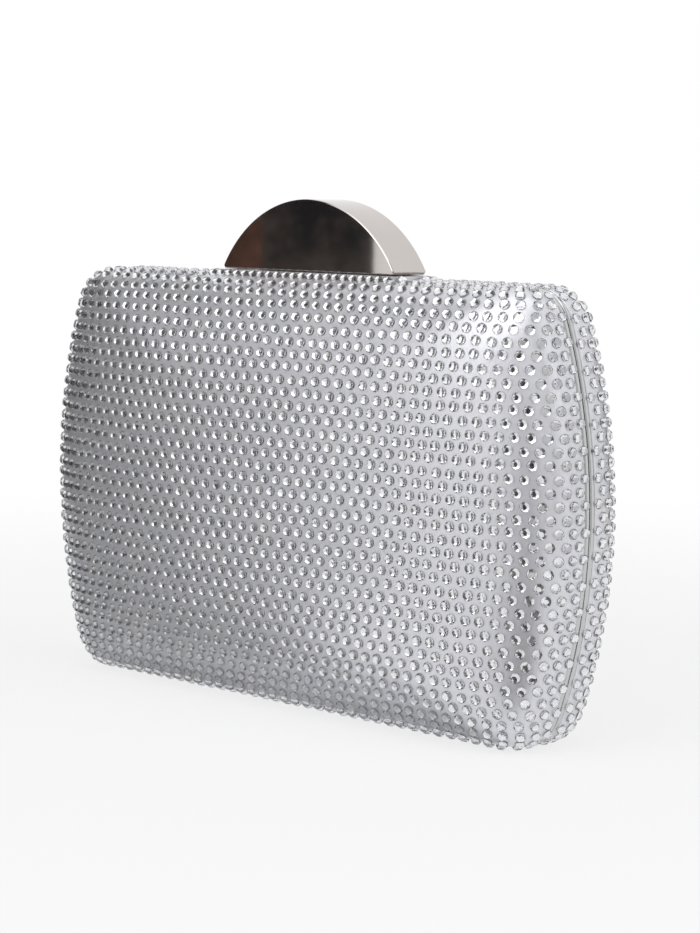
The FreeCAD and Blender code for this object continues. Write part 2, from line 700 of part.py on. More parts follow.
def make_stems():
    """Two grooved stems with heads on the bar, their clips, and the plunger."""
    stems, clips = [], []
    neck = "clip_thickness + 2 * hole_clearance"
    neck_low = "clip_bottom - hole_clearance"
    for index, across in enumerate(stem_places):
        name = f"stem_{index}"
        line = (across, "sleeve_middle")
        parts = [
            rod(name + "_head", "z", "stem_head_radius", (*line, "bar_top"), "stem_head_height"),
            rod(name + "_shank", "z", "stem_radius", (*line, f"{neck_low} + {neck}"),
                f"bar_top - ({neck_low} + {neck})"),
            rod(name + "_neck", "z", "neck_radius", (*line, neck_low), neck),
            rod(name + "_tip", "z", "stem_radius", (*line, f"{neck_low} - stem_tip"), "stem_tip"),
        ]
        stems.append(fuse(name, parts))
        ring = rod(f"clip_{index}_ring", "z", "clip_radius", (*line, "clip_bottom"), "clip_thickness")
        inner = "neck_radius + hole_clearance"
        below, above = f"clip_bottom - {OVERCUT}", f"clip_top + {OVERCUT}"
        bore = rod(f"clip_{index}_bore", "z", inner, (*line, below), f"{above} - ({below})")
        mouth_low = (f"{across} - ({inner})", "sleeve_middle", below)
        mouth_high = (f"{across} + {inner}", f"sleeve_middle + clip_radius + {OVERCUT}", above)
        clips.append(cut(f"clip_{index}", ring, [bore, box(f"clip_{index}_mouth", mouth_low, mouth_high)]))
    keep(group("guide_stems", stems), "guide_stems")
    keep(group("stem_clips", clips), "stem_clips")
    end = "barb_top + plunger_gap"
    shank = rod("plunger_shank", "z", "plunger_radius", ("0", "sleeve_middle", end), f"bar_top - ({end})")
    start = ("0", "sleeve_middle", "bar_top")
    head = rod("plunger_head", "z", "stem_head_radius", start, "stem_head_height")
    keep(fuse("plunger", [shank, head]), "plunger")


def make_springs():
    """Two coil springs between the plate and the bar, each one wire swept along a helix."""
    room = "bar_bottom - seat_top - spring_wire - 2 * hole_clearance"
    springs = []
    for index, across in enumerate(stem_places):
        name = f"spring_{index}"
        helix = doc.addObject("Part::Helix", name + "_path")
        helix.setExpression("Height", formula(room))
        helix.setExpression("Pitch", formula(f"({room}) / spring_turns"))
        helix.setExpression("Radius", formula("spring_radius"))
        wire = doc.addObject("Part::Circle", name + "_wire")
        wire.Placement.Rotation = FreeCAD.Rotation(Vector(1, 0, 0), 90)
        wire.setExpression("Radius", formula("spring_wire / 2"))
        wire.setExpression("Placement.Base.x", formula("spring_radius"))
        coil = doc.addObject("Part::Sweep", name)
        coil.Sections = [wire]
        coil.Spine = helix
        coil.Solid = True
        coil.Frenet = True
        coil.setExpression("Placement.Base.x", formula(across))
        coil.setExpression("Placement.Base.y", formula("sleeve_middle"))
        coil.setExpression("Placement.Base.z", formula("seat_top + spring_wire / 2 + hole_clearance"))
        springs.append(coil)
    print("least gap between a spring's turns", round(value(f"({room}) / spring_turns - spring_wire"), 3))
    keep(group("return_springs", springs), "return_springs")


make_halves()
make_frames()
make_hinge()
make_lock_plate()
make_tongue()
make_knob_shell()
make_knob_seat()
make_knob_bar()
make_stems()
make_springs()
doc.recompute()

# Test every object and write each sub-part to its own file

for thing in doc.Objects:
    if "Invalid" in thing.State or "Error" in thing.State:
        raise RuntimeError(f"{thing.Label} failed: {thing.State}")
for node, thing in nodes.items():
    if thing.Shape.isNull() or not thing.Shape.isValid():
        raise RuntimeError(f"{node} has no valid shape")

os.makedirs("parts", exist_ok=True)
for node, thing in nodes.items():
    thing.Shape.exportStep(f"parts/{node}.step")
    extent = thing.Shape.BoundBox
    print(f"{node}: {len(thing.Shape.Solids)} solids, {thing.Shape.Volume:.1f} mm3, "
          f"x {extent.XMin:.2f} {extent.XMax:.2f}, y {extent.YMin:.2f} {extent.YMax:.2f}, "
          f"z {extent.ZMin:.2f} {extent.ZMax:.2f}")
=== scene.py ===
# %% [markdown]
# # A crystal-set evening clutch
# The bag is a hard box made of two pillow-shaped halves that meet at a bright metal rim. Each half is a
# moulded shell covered in silver satin, and the satin is set with about two thousand flat-back glass
# stones. A polished half-moon knob on top is pushed down to free the catch.
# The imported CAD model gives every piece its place. This lesson dresses it: satin, single stones and a
# soft lining replace their plain solids, and the metal pieces keep their shapes and get better finishes.

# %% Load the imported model
import json

import bmesh
import bpy
import numpy as np
from mathutils import Matrix, Vector


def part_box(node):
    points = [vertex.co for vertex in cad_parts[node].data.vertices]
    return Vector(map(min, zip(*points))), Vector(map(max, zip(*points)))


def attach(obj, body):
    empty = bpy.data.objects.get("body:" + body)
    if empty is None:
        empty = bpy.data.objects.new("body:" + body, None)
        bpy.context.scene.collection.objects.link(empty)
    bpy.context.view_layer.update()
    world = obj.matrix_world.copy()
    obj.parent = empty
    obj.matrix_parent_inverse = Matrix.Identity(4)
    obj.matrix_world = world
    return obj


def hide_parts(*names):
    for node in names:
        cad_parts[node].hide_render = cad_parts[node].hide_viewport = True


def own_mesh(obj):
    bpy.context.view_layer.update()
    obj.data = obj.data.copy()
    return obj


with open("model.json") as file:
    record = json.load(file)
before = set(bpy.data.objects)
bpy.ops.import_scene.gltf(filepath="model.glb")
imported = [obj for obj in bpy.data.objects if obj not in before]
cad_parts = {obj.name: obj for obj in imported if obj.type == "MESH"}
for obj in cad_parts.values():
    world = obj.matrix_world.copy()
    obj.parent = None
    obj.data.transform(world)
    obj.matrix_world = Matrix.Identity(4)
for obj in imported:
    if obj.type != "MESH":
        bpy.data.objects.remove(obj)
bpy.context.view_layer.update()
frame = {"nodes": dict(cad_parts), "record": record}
scene = bpy.context.scene
scene.view_settings.view_transform = "Standard"
MM = 0.001

# %% [markdown]
# ## Camera
# The camera comes first, because every later choice is judged through it. Its place was found by fitting
# the bag's outline, seam and knob to the photograph, so it is written as a position and two directions.
# A matrix takes those directions as they are, which avoids the confusion of turning by three angles.

# %% Camera
LENS_MM = 95.805
CAMERA_PLACE = (0.4428, -0.4485, 0.1300)
CAMERA_RIGHT = Vector((0.7203, 0.6935, 0.0143))
CAMERA_UP = Vector((-0.0856, 0.0685, 0.9940))

camera = bpy.data.objects.new("camera", bpy.data.cameras.new("camera"))
camera.data.lens = LENS_MM
camera.data.clip_start = 0.01
turned = Matrix((CAMERA_RIGHT, CAMERA_UP, CAMERA_RIGHT.cross(CAMERA_UP))).transposed()
camera.matrix_world = Matrix.Translation(CAMERA_PLACE) @ turned.to_4x4()
scene.collection.objects.link(camera)
scene.camera = camera
print("camera at", CAMERA_PLACE, "with a lens of", LENS_MM, "mm")

# %% [markdown]
# ## A short way to write finishes
# A finish is a tree of nodes. Drawn by hand it is easy to read, but in a script each node takes many
# lines. Two small classes shorten that. A feed is one node's output, and arithmetic on it adds Math
# nodes, so `1 - mask * 0.3` reads as it would on paper. A recipe holds the tree and makes any other node
# in one call.

# %% Feeds
class Feed:
    """A node's output. A sum, difference or product of feeds adds Math nodes to the same tree."""

    def __init__(self, recipe, socket):
        self.recipe = recipe
        self.socket = socket

    def maths(self, operation, first, second):
        return self.recipe.node("ShaderNodeMath", {"operation": operation}, {0: first, 1: second})

    def __add__(self, other):
        return self.maths("ADD", self, other)

    def __sub__(self, other):
        return self.maths("SUBTRACT", self, other)

    def __rsub__(self, other):
        return self.maths("SUBTRACT", other, self)

    def __mul__(self, other):
        return self.maths("MULTIPLY", self, other)

    __radd__ = __add__
    __rmul__ = __mul__


print("feeds can be added, subtracted and multiplied")

# %% Recipes
EVEN = (1.0, 1.0, 1.0)
# A Mix node has sockets for numbers, vectors and colours side by side. These are its colours.
MIX_FIRST, MIX_SECOND, MIX_RESULT = 6, 7, 2
SEEN_RAYS = ("Is Camera Ray", "Is Glossy Ray", "Is Transmission Ray")


class Recipe:
    """The nodes of one finish."""

    def __init__(self, tree):
        self.tree = tree
        tree.nodes.clear()

    def node(self, kind, settings=None, sockets=None, out=0):
        """A node of one type, with its settings, then the values or feeds of its sockets."""
        made = self.tree.nodes.new(kind)
        for name, setting in (settings or {}).items():
            setattr(made, name, setting)
        for name, given in (sockets or {}).items():
            if isinstance(given, Feed):
                self.tree.links.new(given.socket, made.inputs[name])
            else:
                made.inputs[name].default_value = given
        return Feed(self, made.outputs[out]) if made.outputs else made

    def mix(self, factor, first, second):
        """A colour between two colours."""
        sockets = {"Factor": factor, MIX_FIRST: first, MIX_SECOND: second}
        return self.node("ShaderNodeMix", {"data_type": "RGBA"}, sockets, out=MIX_RESULT)

    def place(self, stretch=EVEN, source="Object"):
        """The piece's own coordinates, stretched by a Mapping node."""
        at = self.node("ShaderNodeTexCoord", out=source)
        return self.node("ShaderNodeMapping", None, {"Vector": at, "Scale": stretch})

    def noise(self, at, scale, detail=3.0, roughness=0.5):
        """Soft cloudy values from 0 to 1."""
        sockets = {"Vector": at, "Scale": scale, "Detail": detail, "Roughness": roughness}
        return self.node("ShaderNodeTexNoise", None, sockets, out="Fac")

    def seen(self):
        """1 for what is seen, straight, in a mirror or through glass, and 0 for light on its way."""
        rays = self.node("ShaderNodeLightPath").socket.node.outputs
        camera_ray, mirror_ray, glass_ray = (Feed(self, rays[name]) for name in SEEN_RAYS)
        settings = {"operation": "ADD", "use_clamp": True}
        return self.node("ShaderNodeMath", settings, {0: camera_ray, 1: mirror_ray + glass_ray})

    def bump(self, height, strength, distance):
        """Small relief, whose full height is a distance in metres."""
        sockets = {"Height": height, "Strength": strength, "Distance": distance}
        return self.node("ShaderNodeBump", None, sockets)

    def surface(self, sockets):
        """A Principled shader on the material's output."""
        shader = self.node("ShaderNodeBsdfPrincipled", None, sockets)
        self.node("ShaderNodeOutputMaterial", None, {"Surface": shader})


def new_finish(name):
    """An empty material and its recipe."""
    material = bpy.data.materials.new(name)
    material.use_nodes = True
    return material, Recipe(material.node_tree)


def tint(red, green, blue):
    return (red, green, blue, 1.0)


print("recipes are ready")

# %% [markdown]
# ## The pillow
# Seen from the front, a half is a rectangle with bowed sides and round corners. Seen from the side, that
# outline shrinks towards the middle of the face along a curve that is squarer than an ellipse, so the
# face is nearly flat and turns quickly at the edges. The corners widen as the outline shrinks, which
# keeps the face free of creases.
# So the whole form is one function of two parameters: how far round the outline, and how far up the
# curve. The same function with another inset gives the satin, the stones' seat and the lining, which
# keeps the layers parallel. All sizes here are in millimetres and are the ones the CAD model was built
# from.

# %% Sizes of the body
stones_low, stones_high = (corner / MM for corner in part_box("front_crystals"))
HALF_WIDTH = round(stones_high.x, 1)
HALF_HEIGHT = round((stones_high.z - stones_low.z) / 2, 1)
DEPTH = round(-stones_low.y, 1)
MIDDLE = HALF_HEIGHT
SIDE_BOW = 7.5
CORNER_RADIUS = 11.4
CORNER_GROWTH = 0.4
CORNER_LIMIT = 0.98
WALL_LAND = 3.6
PROFILE_POWER = 3.0
print("half width, half height and depth:", HALF_WIDTH, HALF_HEIGHT, DEPTH, "mm")

# %% The outline
def outline_parts(inset, share):
    """Measures of the outline when it lies inset inside the stones and the profile leaves a share of it.

    The corner widens as the outline shrinks, until the outline is too low for it. The side is an arc
    whose bow shrinks with the square of the straight height that is left, so its radius stays nearly the
    same. The measures are the half width, the half width of the straight top, the corner's radius, the
    height of its centre, the side's radius and the angle at which the side meets the corner.
    """
    full_height = HALF_HEIGHT - inset
    full_corner = CORNER_RADIUS - inset
    half_height = full_height * share
    widened = full_corner + CORNER_GROWTH * (full_height - half_height)
    corner = np.minimum(widened, CORNER_LIMIT * half_height)
    reach = half_height - corner
    bow = SIDE_BOW * (reach / (full_height - full_corner)) ** 2 / share
    half_width = (HALF_WIDTH - inset) * share
    side_radius = (reach ** 2 + bow ** 2) / (2 * bow)
    lean = np.arcsin(reach / side_radius)
    return half_width, half_width - bow - corner, corner, reach, side_radius + corner, lean


def outline_grid(inset, share, side_steps=14, corner_steps=14, top_steps=30):
    """Points round the outline, one row for each share, from the right side over the top and round.

    One quarter is an arc up the side, an arc round the corner and a line to the middle of the top.
    The other quarters are its mirror images.
    """
    share = np.asarray(share, float)[:, None]
    half_width, flat, corner, reach, side_radius, lean = outline_parts(inset, share)
    rise = lean * np.linspace(0, 1, side_steps)
    bend = lean + (np.pi / 2 - lean) * np.linspace(0, 1, corner_steps)[1:]
    level = np.linspace(1, 0, top_steps)[1:]
    across = np.concatenate([
        half_width - side_radius + side_radius * np.cos(rise),
        flat + corner * np.cos(bend),
        flat * level], axis=1)
    up = np.concatenate([
        side_radius * np.sin(rise),
        reach + corner * np.sin(bend),
        (reach + corner) * np.ones_like(level)], axis=1)
    x = np.concatenate([across, -across[:, -2::-1], -across[:, 1:], across[:, -2:0:-1]], axis=1)
    z = np.concatenate([up, up[:, -2::-1], -up[:, 1:], -up[:, -2:0:-1]], axis=1)
    return x, z + MIDDLE


straight_half = outline_parts(0, 1.0)[1]
print("the straight top of the bag is", round(2 * straight_half, 1), "mm long")

# %% The pillow's grid
SATIN_INSET = 1.0
RIM_BACK = 1.65


def profile(inset, turn):
    """Share of the outline and distance from the seam, for turn from 0 at the wall to a quarter turn.

    The distance rises with the sine of turn to the power 2 / n and the outline keeps the cosine to the
    same power, which is a superellipse of power n.
    """
    power = 2 / PROFILE_POWER
    return np.cos(turn) ** power, WALL_LAND + (DEPTH - inset - WALL_LAND) * np.sin(turn) ** power


def pillow_grid(inset, start, steps=44, wall_steps=5):
    """Grid of points of one pillow half: a straight wall from start, then the profile, then the pole.

    A start beyond the wall leaves the wall out, and the profile begins there.
    """
    share, out = profile(inset, np.linspace(0, np.pi / 2, steps)[:-1])
    share, out = share[out > start], out[out > start]
    wall = np.linspace(start, WALL_LAND, wall_steps)[:-1] if start < WALL_LAND else np.empty(0)
    x, z = outline_grid(inset, np.concatenate([np.ones(len(wall)), share]))
    y = np.broadcast_to(np.concatenate([wall, out])[:, None], x.shape)
    pole = np.broadcast_to([0.0, DEPTH - inset, MIDDLE], (1, x.shape[1], 3))
    return np.concatenate([np.stack([x, y, z], axis=-1), pole])


satin_points = pillow_grid(SATIN_INSET, RIM_BACK)
print("one satin grid has", satin_points.shape[0], "rows of", satin_points.shape[1], "points")

# %% [markdown]
# ## From a grid to a piece
# A grid becomes a mesh when its neighbours are joined by quads. The columns run round the bag, so the
# last joins the first. On the face the outline closes up to a line, where many points meet: they are
# merged, so that the skin has no slit. Cloth is made as one surface and gets its thickness from
# Solidify, inwards, which leaves the outer face exactly where the function puts it.

# %% Meshes from arrays
WELD = 0.00004


def grid_faces(rows, columns):
    """Corners of the quads of a grid whose columns close in a ring, facing outwards on the front half."""
    index = np.arange(rows * columns).reshape(rows, columns)
    index = np.concatenate([index, index[:, :1]], axis=1)
    quads = np.stack([index[:-1, :-1], index[:-1, 1:], index[1:, 1:], index[1:, :-1]], axis=-1)
    return quads.reshape(-1, 4)


def new_piece(name, points, corners, counts, finishes):
    """An object from points in millimetres, the corners of all faces and each face's count of them."""
    mesh = bpy.data.meshes.new(name)
    mesh.vertices.add(len(points))
    mesh.vertices.foreach_set("co", np.ravel(points * MM).astype(np.float32))
    mesh.loops.add(len(corners))
    mesh.loops.foreach_set("vertex_index", np.asarray(corners, np.int32))
    mesh.polygons.add(len(counts))
    mesh.polygons.foreach_set("loop_start", np.asarray(np.cumsum(counts) - counts, np.int32))
    mesh.update(calc_edges=True)
    for finish in finishes:
        mesh.materials.append(finish)
    piece = bpy.data.objects.new(name, mesh)
    scene.collection.objects.link(piece)
    return piece


def weld(mesh):
    """Merge points that lie together."""
    surface = bmesh.new()
    surface.from_mesh(mesh)
    bmesh.ops.remove_doubles(surface, verts=surface.verts, dist=WELD)
    surface.to_mesh(mesh)
    surface.free()


print("points closer than", WELD / MM, "mm are merged")

# %% Cloth over a grid
MM_IN_CM = 10
LEAST_LENGTH = 1e-9


def cloth_piece(name, points, side, thick, finish):
    """A stretched cloth over a pillow grid. side is -1 for the front half and 1 for the rear.

    Its UV map is the cloth laid flat, in centimetres: what lies on a wall is folded outwards along the
    direction in which the wall faces, so threads run on over the edges.
    """
    ring = np.roll(points, -1, axis=1) - np.roll(points, 1, axis=1)
    facing = np.stack([ring[..., 2], -ring[..., 0]], axis=-1)
    facing /= np.maximum(np.linalg.norm(facing, axis=-1, keepdims=True), LEAST_LENGTH)
    flat = points[..., (0, 2)] + facing * (points[..., 1].max() - points[..., 1:2])
    quads = grid_faces(*points.shape[:2])
    if side > 0:
        quads = quads[:, ::-1]
    placed = (points * np.array([1, side, 1])).reshape(-1, 3)
    piece = new_piece(name, placed, quads.ravel(), np.full(len(quads), 4), [finish])
    flat_corners = flat.reshape(-1, 2)[quads.ravel()] / MM_IN_CM
    laid_flat = piece.data.uv_layers.new(name="laid_flat")
    laid_flat.data.foreach_set("uv", flat_corners.astype(np.float32).ravel())
    weld(piece.data)
    piece.data.polygons.foreach_set("use_smooth", np.ones(len(piece.data.polygons), bool))
    thickness = piece.modifiers.new("thickness", "SOLIDIFY")
    thickness.thickness = thick * MM
    thickness.offset = -1.0
    return piece


def cloth_area(piece):
    """Area of one face of the cloth, in square metres."""
    areas = np.empty(len(piece.data.polygons), np.float32)
    piece.data.polygons.foreach_get("area", areas)
    return float(areas.sum())


print("one satin has", len(grid_faces(*satin_points.shape[:2])), "quads before its doubles are merged")

# %% [markdown]
# ## Silver satin
# The cover is a silver satin with a faint lilac cast. Satin shines because long floating threads lie
# side by side, so it mirrors its surroundings softly, more like brushed metal than like plain cloth. A
# partly metallic finish gives that sheen. Stretched noise makes the floats, and a slow cloudy noise
# varies the shade, because cloth that is stretched and glued by hand is never quite even.

# %% Satin finish
SATIN_LIGHT = tint(0.84, 0.84, 0.88)
SATIN_DARK = tint(0.61, 0.61, 0.65)


def make_satin():
    material, recipe = new_finish("silver satin")
    floats = recipe.noise(recipe.place((28.0, 5.0, 1.0), "UV"), 1.0, 2.0, 0.6)
    grain = recipe.noise(recipe.place(EVEN, "UV"), 14.0, 3.0, 0.65)
    clouds = recipe.noise(recipe.place(), 35.0, 2.0)
    shade = floats * 0.35 + grain * 0.4 + clouds * 0.35 - 0.05
    recipe.surface({
        "Base Color": recipe.mix(shade, SATIN_DARK, SATIN_LIGHT),
        "Metallic": 0.75,
        "Roughness": 0.34 + grain * 0.12,
        "Normal": recipe.bump(floats * 0.5 + grain * 0.5, 0.5, 0.00014),
    })
    return material


satin = make_satin()
print("finish:", satin.name)

# %% Satin covers
SIDES = {"front": -1, "rear": 1}
SATIN_THICK = 0.6
for half, side in SIDES.items():
    cover = cloth_piece(half + "_satin", satin_points, side, SATIN_THICK, satin)
    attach(cover, half + "_half")
    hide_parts(half + "_cover")
    area = cloth_area(cover)
    print(cover.name, "has", round(area * 10000), "square centimetres of cloth")

# %% [markdown]
# ## One stone
# The stones are flat-backed, about 2.5 mm wide and 0.9 mm high. Each has a flat table on top, facets
# that slope down to a round girdle, and a mirror foil on its back. The foil matters: light goes in
# through the facets, bounces off the foil and comes out through other facets, so the table flashes white
# while its neighbours stay dark. Real glass on a real mirror does this by itself, so no pattern has to
# be painted. Since there are thousands of them, one stone has only 34 faces.

# %% Shape of a stone
STONE_RADIUS, STONE_HEIGHT = 1.24, 0.9
TABLE_SHARE, GIRDLE_SHARE, BACK_SHARE = 0.58, 0.36, 0.97
SIDES_OF_TABLE = 8


def stone_shape():
    """Points and faces of a stone that stands on the origin and faces along z.

    The table's corners lie on a circle. The girdle has twice as many corners, those below a table corner
    a little lower, so that the four-sided facets are flat. A short wall joins the girdle to the foil
    back, which is the last face.
    """
    around = np.arange(SIDES_OF_TABLE)
    table_turn = around * 2 * np.pi / SIDES_OF_TABLE
    girdle_turn = np.arange(2 * SIDES_OF_TABLE) * np.pi / SIDES_OF_TABLE
    slope = STONE_HEIGHT * (1 - GIRDLE_SHARE) / (np.cos(np.pi / SIDES_OF_TABLE) - TABLE_SHARE)
    low = STONE_HEIGHT - slope * (1 - TABLE_SHARE)
    girdle_level = np.where(np.arange(2 * SIDES_OF_TABLE) % 2, STONE_HEIGHT * GIRDLE_SHARE, low)

    def ring(turn, radius, level):
        level = np.broadcast_to(level, turn.shape)
        return np.stack([radius * np.cos(turn), radius * np.sin(turn), level], axis=1)

    table = ring(table_turn, STONE_RADIUS * TABLE_SHARE, STONE_HEIGHT)
    girdle = ring(girdle_turn, STONE_RADIUS, girdle_level)
    back = ring(girdle_turn, STONE_RADIUS * BACK_SHARE, 0.0)
    first_girdle, first_back = SIDES_OF_TABLE, 3 * SIDES_OF_TABLE
    ends = 2 * SIDES_OF_TABLE
    faces = [list(around)]
    for i in around:
        left, below, right = (first_girdle + (2 * i + step) % ends for step in (-1, 0, 1))
        faces.append([i, left, below, right])
        faces.append([i, right, (i + 1) % SIDES_OF_TABLE])
    for j in range(ends):
        after = (j + 1) % ends
        faces.append([first_girdle + j, first_back + j, first_back + after, first_girdle + after])
    faces.append([first_back + j for j in reversed(range(ends))])
    return np.concatenate([table, girdle, back]), faces


stone_points, stone_faces = stone_shape()
stone_corners = np.concatenate(stone_faces)
corner_counts = np.array([len(face) for face in stone_faces])
print("a stone has", len(stone_points), "points and", len(stone_faces), "faces")

# %% [markdown]
# ## Rows of stones
# The setter works in level rows across the face, each row shifted by half a step against the last, and
# turns over the edges down to the rim. So a row is a level line on the pillow, measured along the
# surface, with a stone at each equal step. Two things keep it from looking printed: each row wanders by
# a fraction of a millimetre, and each stone is a little turned and tilted. Where rows run together at
# the corners, a stone that would touch its neighbour is left out.

# %% Places on the satin
SATIN_RISE = DEPTH - SATIN_INSET - WALL_LAND
SHARE_RANGE = (0.001, 1.1)
HALVINGS = 36
SLOPE_STEP = 0.05


def half_span(up, share):
    """Half the width of the satin's shrunken outline at a height from the middle, negative outside it."""
    half_width, flat, corner, reach, side_radius, lean = outline_parts(SATIN_INSET, share)
    on_side = half_width - side_radius + np.sqrt(np.maximum(side_radius ** 2 - up ** 2, 0))
    on_corner = flat + np.sqrt(np.maximum(corner ** 2 - (up - reach) ** 2, 0))
    span = np.where(up <= reach + corner * np.sin(lean), on_side, on_corner)
    return np.where(up > reach + corner, -1.0, span)


def share_at(x, z):
    """Share of the satin's outline that passes through x and z, by halving an interval."""
    across, up = np.abs(x), np.abs(z - MIDDLE)
    small, large = (np.full(np.shape(x), end) for end in SHARE_RANGE)
    for _ in range(HALVINGS):
        guess = (small + large) / 2
        inside = across <= half_span(up, guess)
        small, large = np.where(inside, small, guess), np.where(inside, guess, large)
    return (small + large) / 2


def rise_at(share):
    """How far the superellipse has risen, from 0 to 1, where that share of the outline is left.

    It is the root of 1 less the share's power, so it also gives the share from the rise.
    """
    return (1 - np.clip(share, 0, 1) ** PROFILE_POWER) ** (1 / PROFILE_POWER)


def facing_at(points):
    """Outward direction at points of the satin: the slope of the superellipse's own equation."""
    x, out, z = points.T
    slope_x = (share_at(x + SLOPE_STEP, z) - share_at(x - SLOPE_STEP, z)) / (2 * SLOPE_STEP)
    slope_z = (share_at(x, z + SLOPE_STEP) - share_at(x, z - SLOPE_STEP)) / (2 * SLOPE_STEP)
    share = np.clip(share_at(x, z), 0, 1) ** (PROFILE_POWER - 1)
    rise = np.clip((out - WALL_LAND) / SATIN_RISE, 0, 1) ** (PROFILE_POWER - 1)
    facing = np.stack([slope_x * share, rise / SATIN_RISE, slope_z * share], axis=1)
    return facing / np.linalg.norm(facing, axis=1, keepdims=True)


halfway = float(share_at(HALF_WIDTH / 2, MIDDLE))
print("halfway to the side the outline has shrunk to", round(halfway, 2), "of its size")

# %% Rows from seam to seam
ROW_PITCH = 3.1
SEAM_ROW = {"front": RIM_BACK + 0.3, "rear": RIM_BACK + 1.1}
SECTION_STEPS = 2000


def row_starts(seam_row):
    """Height and distance from the seam of each row, at equal steps along the bag's middle section."""
    share, out = profile(SATIN_INSET, np.linspace(0, np.pi / 2, SECTION_STEPS))
    height, out = np.append(1.0, share) * (HALF_HEIGHT - SATIN_INSET), np.append(seam_row, out)
    along = np.append(0.0, np.cumsum(np.hypot(np.diff(height), np.diff(out))))
    rows = int(round(2 * along[-1] / ROW_PITCH))
    at = np.linspace(0, 2 * along[-1], rows + 1)
    folded = np.minimum(at, 2 * along[-1] - at)
    up = np.interp(folded, along, height)
    return MIDDLE + np.where(at < along[-1], up, -up), np.interp(folded, along, out)


print("each half has", len(row_starts(SEAM_ROW["front"])[0]), "rows")

# %% One row
STONE_PITCH = 3.93
STEP_SPREAD = 0.07
WANDER = 0.16
WAVE_LENGTHS, WAVE_STARTS = (12, 22), (0, 6.3)
CALM_EDGE, CALM_WALL = 12, 8
ACROSS_STEPS, WALL_STEPS = 240, 12


def row_line(level, out, seam_row, chance):
    """Points of one row from the middle of the bag to the seam: across the face, then down the wall.

    The row wanders as a cosine of random length and start, and less so towards the wall and the sides.
    """
    share = np.sin(np.linspace(0, np.pi / 2, ACROSS_STEPS))
    if out < WALL_LAND:
        flat = outline_parts(SATIN_INSET, 1.0)[1]
        return np.stack([share * flat, np.full(ACROSS_STEPS, out), np.full(ACROSS_STEPS, level)], axis=1)
    edge = half_span(abs(level - MIDDLE), 1.0)
    x = share * edge
    wave = chance.uniform(*WAVE_LENGTHS)
    sway = WANDER * np.cos(x / wave + chance.uniform(*WAVE_STARTS))
    sway *= np.clip((edge - x) / CALM_EDGE, 0, 1)
    z = level + sway * np.clip((out - WALL_LAND) / CALM_WALL, 0, 1)
    face = np.stack([x, WALL_LAND + SATIN_RISE * rise_at(share_at(x, z)), z], axis=1)
    down = np.linspace(WALL_LAND, seam_row, WALL_STEPS)[1:]
    wall = np.stack([np.full(len(down), edge), down, np.full(len(down), level)], axis=1)
    return np.concatenate([face, wall])


def row_stones(level, out, shift, seam_row, chance):
    """Stones of one row, left and right of the middle, at equal steps along the line."""
    found = []
    for hand in (-1, 1):
        line = row_line(level, out, seam_row, chance)
        along = np.append(0.0, np.cumsum(np.linalg.norm(np.diff(line, axis=0), axis=1)))
        first = shift if hand > 0 else STONE_PITCH - shift
        last = along[-1] - STONE_PITCH / 2 * (first < STONE_PITCH / 2)
        at = np.linspace(first, last, int(round((last - first) / STONE_PITCH)) + 1)
        at = np.clip(at + chance.normal(0, STEP_SPREAD, len(at)), 0, along[-1])
        places = np.stack([np.interp(at, along, line[:, axis]) for axis in range(3)], axis=1)
        found.append(places * np.array([hand, 1, 1]))
    return np.concatenate(found)


print("a stone every", STONE_PITCH, "mm along a row")

# %% All rows of a half
FIRST_STONES = (0.25, 0.75)
LEAST_APART = 2.66


def thin_out(points):
    """Indices of points that keep the least distance, where an earlier point goes before a later one."""
    kept = np.empty((0, 3))
    chosen = []
    for i, point in enumerate(points):
        if len(kept) == 0 or np.min(np.sum((kept - point) ** 2, axis=1)) > LEAST_APART ** 2:
            kept = np.vstack([kept, point])
            chosen.append(i)
    return chosen


def stone_places(seam_row, chance):
    """Places of the stones of one half, as x, distance from the seam and z."""
    levels, outs = row_starts(seam_row)
    rows = []
    for k in np.argsort(-outs):
        shift = STONE_PITCH * FIRST_STONES[k % 2]
        rows.append(row_stones(levels[k], outs[k], shift, seam_row, chance))
    points = np.concatenate(rows)
    return points[thin_out(points)]


print("stones keep", LEAST_APART, "mm from middle to middle")

# %% [markdown]
# ## Glass and foil
# A stone could be painted as shiny metal, which is quick to render, but then it has no depth. Here the
# crown is clear glass and the back is a mirror, as on the real stone. Some stones are a touch greyer or
# bluer than others, as in any packet of stones, so each gets its own shade in an attribute that the
# glass reads.

# %% Glass and foil finishes
def make_glass():
    material, recipe = new_finish("clear stone glass")
    shade = recipe.node("ShaderNodeAttribute", {"attribute_name": "stone_shade"}, None, out="Fac")
    smear = recipe.noise(recipe.place(), 900.0, 2.0)
    recipe.surface({
        "Base Color": recipe.mix(shade, tint(0.90, 0.91, 0.95), tint(1.0, 1.0, 1.0)),
        "Roughness": smear * 0.05,
        "IOR": 1.56,
        "Transmission Weight": 1.0,
    })
    return material


def make_foil():
    material, recipe = new_finish("mirror foil")
    crinkle = recipe.noise(recipe.place(), 700.0, 2.0)
    recipe.surface({
        "Base Color": recipe.mix(crinkle, tint(0.84, 0.84, 0.86), tint(0.94, 0.94, 0.95)),
        "Metallic": 1.0,
        "Roughness": 0.08 + crinkle * 0.1,
    })
    return material


stone_glass = make_glass()
foil = make_foil()
print("finishes:", stone_glass.name, "and", foil.name)

# %% [markdown]
# ## Stones round the knob
# The knob's seat lies flat on the top of the bag, so the rows stop there. A row of its own goes along
# both sides of the seat and round its ends, set closer than the others. These stones are lifted a little
# and lean outwards, away from the knob.

